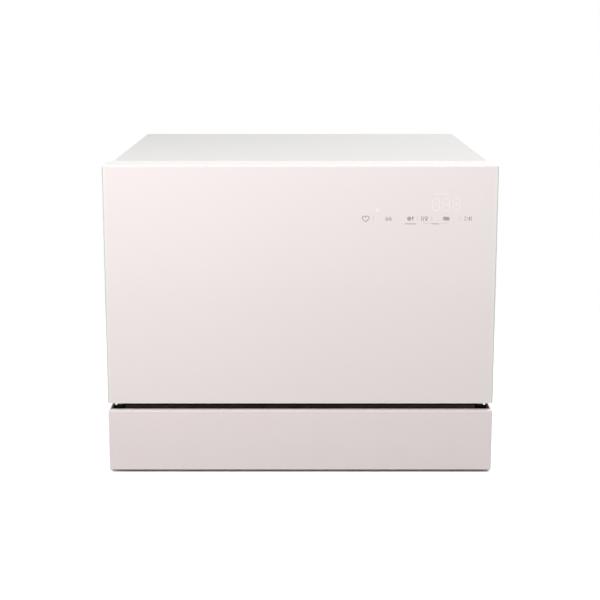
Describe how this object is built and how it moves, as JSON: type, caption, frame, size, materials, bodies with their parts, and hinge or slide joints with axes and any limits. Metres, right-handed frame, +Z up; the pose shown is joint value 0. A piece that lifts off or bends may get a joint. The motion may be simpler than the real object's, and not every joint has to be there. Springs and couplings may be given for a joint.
{
  "type": "countertop dishwasher",
  "caption": "Countertop dishwasher with a drop-down white glass door, touch controls, a steel tub, one dish rack and spray arms.",
  "frame": {"origin": "on the worktop, under the middle of the machine's box", "axes": "+Z up, the door faces -Y, +X to the right as seen from the front"},
  "size_m": [0.55, 0.5, 0.445],
  "materials": {
    "white_paint": "semi-gloss baked enamel",
    "door_glass": "back-painted glass, polished",
    "white_plastic": "satin moulded plastic",
    "grey_plastic": "moulded plastic",
    "dark_plastic": "textured moulded plastic",
    "light_plastic": "moulded plastic",
    "blue_plastic": "moulded plastic",
    "tub_steel": "brushed stainless sheet",
    "zinc_steel": "zinc-plated steel",
    "rear_steel": "galvanised sheet",
    "motor_steel": "painted motor can",
    "rubber": "soft black rubber",
    "felt": "bitumen-backed felt",
    "rack_coating": "nylon-coated wire",
    "board": "printed circuit board",
    "foam": "closed-cell foam"
  },
  "bodies": {
    "cabinet": {"cabinet_wrap": "white_paint", "rear_panel": "rear_steel", "rear_screws": "zinc_steel", "base_tray": "dark_plastic", "connection_plate": "dark_plastic", "rubber_feet": "rubber", "toe_panel": "white_plastic", "front_brace": "dark_plastic", "hinge_arms": "zinc_steel", "hinge_pins": "zinc_steel", "tub": "tub_steel", "tub_bottom": "tub_steel", "tub_frame": "tub_steel", "door_seals": "rubber", "insulation_blanket": "felt", "rack_rails": "tub_steel", "sump": "grey_plastic", "filter_plate": "tub_steel", "spray_riser": "grey_plastic", "circulation_pump": "grey_plastic", "pump_motor": "motor_steel", "drain_pump": "grey_plastic", "flow_heater": "tub_steel", "water_softener": "light_plastic", "air_break": "light_plastic", "inlet_valve": "light_plastic", "drain_spigot": "grey_plastic", "cord_gland": "dark_plastic", "control_box": "light_plastic", "float_switch": "dark_plastic", "latch_strike": "zinc_steel"},
    "door": {"door_shell": "white_plastic", "door_glass": "door_glass", "door_liner": "tub_steel", "touch_board": "board", "display_module": "dark_plastic", "dispenser_body": "grey_plastic", "latch_case": "light_plastic", "hinge_housings": "zinc_steel", "hinge_springs": "zinc_steel"},
    "rack": {"rack_floor": "rack_coating", "rack_ends": "rack_coating", "rack_sides": "rack_coating", "plate_tines": "rack_coating"},
    "lower_spray_arm": {"lower_spray_arm": "grey_plastic"},
    "upper_spray_arm": {"upper_spray_arm": "grey_plastic"},
    "filter_cup": {"filter_cup": "grey_plastic"},
    "salt_cap": {"salt_cap": "blue_plastic"},
    "pump_rotor": {"pump_rotor": "zinc_steel"},
    "leak_float": {"leak_float": "foam"},
    "dispenser_lid": {"dispenser_lid": "grey_plastic"},
    "dispenser_release": {"dispenser_release": "light_plastic"},
    "rinse_cap": {"rinse_cap": "blue_plastic"},
    "latch_pawl": {"latch_pawl": "light_plastic"},
    "folding_tines": {"folding_tines": "rack_coating"},
    "cup_shelf_front": {"cup_shelf_front": "rack_coating"},
    "cup_shelf_rear": {"cup_shelf_rear": "rack_coating"},
    "cutlery_basket": {"cutlery_basket": "grey_plastic"},
    "front_wheels": {"front_wheels": "grey_plastic"},
    "rear_wheels": {"rear_wheels": "grey_plastic"}
  },
  "joints": [
    {"name": "door_hinge", "type": "hinge", "parent": "cabinet", "child": "door", "pos_m": [0, -0.232, 0.127], "axis": [1, 0, 0], "range_deg": [0, 90]},
    {"name": "rack_slide", "type": "slide", "parent": "cabinet", "child": "rack", "axis": [0, -1, 0], "range_m": [0, 0.1132]},
    {"name": "front_wheel_roll", "type": "hinge", "parent": "rack", "child": "front_wheels", "pos_m": [0, -0.11, 0.1663], "axis": [1, 0, 0], "range_deg": [0, 464]},
    {"name": "rear_wheel_roll", "type": "hinge", "parent": "rack", "child": "rear_wheels", "pos_m": [0, 0.13, 0.1663], "axis": [1, 0, 0], "range_deg": [0, 464]},
    {"name": "tine_fold", "type": "hinge", "parent": "rack", "child": "folding_tines", "pos_m": [0, -0.014, 0.1799], "axis": [1, 0, 0], "range_deg": [0, 90]},
    {"name": "front_shelf_fold", "type": "hinge", "parent": "rack", "child": "cup_shelf_front", "pos_m": [-0.216, -0.09, 0.276], "axis": [0, -1, 0], "range_deg": [0, 90]},
    {"name": "rear_shelf_fold", "type": "hinge", "parent": "rack", "child": "cup_shelf_rear", "pos_m": [-0.216, 0.08, 0.276], "axis": [0, -1, 0], "range_deg": [0, 90]},
    {"name": "basket_lift", "type": "slide", "parent": "rack", "child": "cutlery_basket", "axis": [0, 0, 1], "range_m": [0, 0.095]},
    {"name": "lower_arm_spin", "type": "hinge", "parent": "cabinet", "child": "lower_spray_arm", "pos_m": [0, 0.01, 0.13], "axis": [0, 0, 1], "continuous": true},
    {"name": "upper_arm_spin", "type": "hinge", "parent": "cabinet", "child": "upper_spray_arm", "pos_m": [0, 0.01, 0.395], "axis": [0, 0, 1], "continuous": true},
    {"name": "filter_twist", "type": "hinge", "parent": "cabinet", "child": "filter_cup", "pos_m": [0.06, 0.01, 0.1], "axis": [0, 0, 1], "range_deg": [0, 90]},
    {"name": "salt_cap_turn", "type": "hinge", "parent": "cabinet", "child": "salt_cap", "pos_m": [-0.186, 0.132, 0.12], "axis": [0, 0, 1], "range_deg": [0, 540]},
    {"name": "rotor_spin", "type": "hinge", "parent": "cabinet", "child": "pump_rotor", "pos_m": [-0.1, 0.01, 0.06], "axis": [1, 0, 0], "continuous": true},
    {"name": "float_rise", "type": "slide", "parent": "cabinet", "child": "leak_float", "axis": [0, 0, 1], "range_m": [0, 0.014]},
    {"name": "dispenser_lid_slide", "type": "slide", "parent": "door", "child": "dispenser_lid", "axis": [-1, 0, 0], "range_m": [0, 0.06]},
    {"name": "dispenser_press", "type": "slide", "parent": "door", "child": "dispenser_release", "axis": [0, -1, 0], "range_m": [0, 0.003], "stiffness_N_per_m": 400},
    {"name": "rinse_cap_turn", "type": "hinge", "parent": "door", "child": "rinse_cap", "pos_m": [0.058, -0.205, 0.257], "axis": [0, 1, 0], "range_deg": [0, 90]},
    {"name": "latch_lift", "type": "hinge", "parent": "door", "child": "latch_pawl", "pos_m": [0, -0.216, 0.4357], "axis": [1, 0, 0], "range_deg": [0, 5], "stiffness_Nm_per_rad": 0.6}
  ],
  "couplings": [
    {"joint": "rack_slide", "follows": "door_hinge", "m_per_rad": 0.072},
    {"joint": "front_wheel_roll", "follows": "door_hinge", "ratio": 5.1429},
    {"joint": "rear_wheel_roll", "follows": "door_hinge", "ratio": 5.1429}
  ]
}
